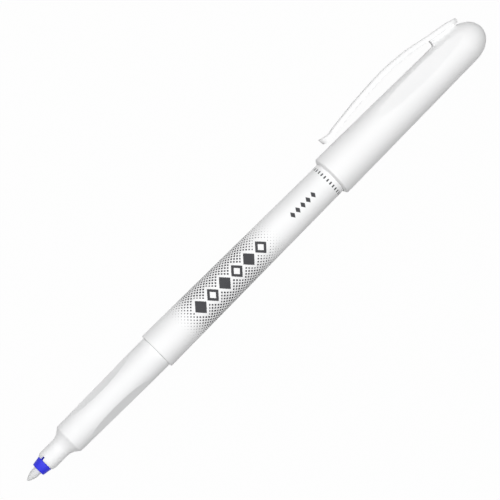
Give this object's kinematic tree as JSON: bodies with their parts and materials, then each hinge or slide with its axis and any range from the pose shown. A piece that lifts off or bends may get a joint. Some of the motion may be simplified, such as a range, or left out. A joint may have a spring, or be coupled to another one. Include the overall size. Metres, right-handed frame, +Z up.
{
  "type": "ink eradicator pen",
  "caption": "Slim fibre-tip ink eradicator pen with a tapered barrel, scooped grip, blue nib holder and soft nib, its domed cap with spring clip posted on the tail.",
  "frame": {"origin": "the spot on the desk, straight below the pen's axis, where the flat facet of the cap's widest ring rests", "axes": "+X along the pen's axis from the nib to the cap's dome, +Z up from the desk, +Y to the side where the clip leans on the desk"},
  "size_m": [0.1569, 0.0154, 0.0112],
  "materials": {
    "nib_fibre": "bonded polyester fibre rod, matt, pale grey",
    "blue_plastic": "moulded polypropylene, semi-matt royal blue",
    "grip_plastic": "moulded polypropylene, white, finely matt",
    "barrel_plastic": null,
    "reservoir_fibre": "bundled polyester fibre",
    "film": "thin clear film",
    "cap_plastic": "moulded polypropylene, white, satin gloss",
    "liner_plastic": "natural polyethylene"
  },
  "bodies": {
    "pen": {"barrel": "barrel_plastic", "grip_section": "grip_plastic", "nib_holder": "blue_plastic", "nib": "nib_fibre", "reservoir_core": "reservoir_fibre", "reservoir_film": "film"},
    "cap_liner": {"inner_cap": "liner_plastic"},
    "cap": {"cap_shell": "cap_plastic"},
    "clip": {"clip": "cap_plastic"}
  },
  "joints": [
    {"name": "cap_pull", "type": "slide", "parent": "pen", "child": "cap_liner", "axis": [1, 0, 0], "range_m": [0, 0.04]},
    {"name": "cap_turn", "type": "hinge", "parent": "cap_liner", "child": "cap", "pos_m": [0, 0, 0.0056], "axis": [1, 0, 0], "continuous": true},
    {"name": "clip_flex", "type": "hinge", "parent": "cap", "child": "clip", "pos_m": [0.03889, 0.00675, 0.00302], "axis": [0, -0.3577, -0.9338], "range_deg": [0, 5], "stiffness_Nm_per_rad": 0.13}
  ]
}
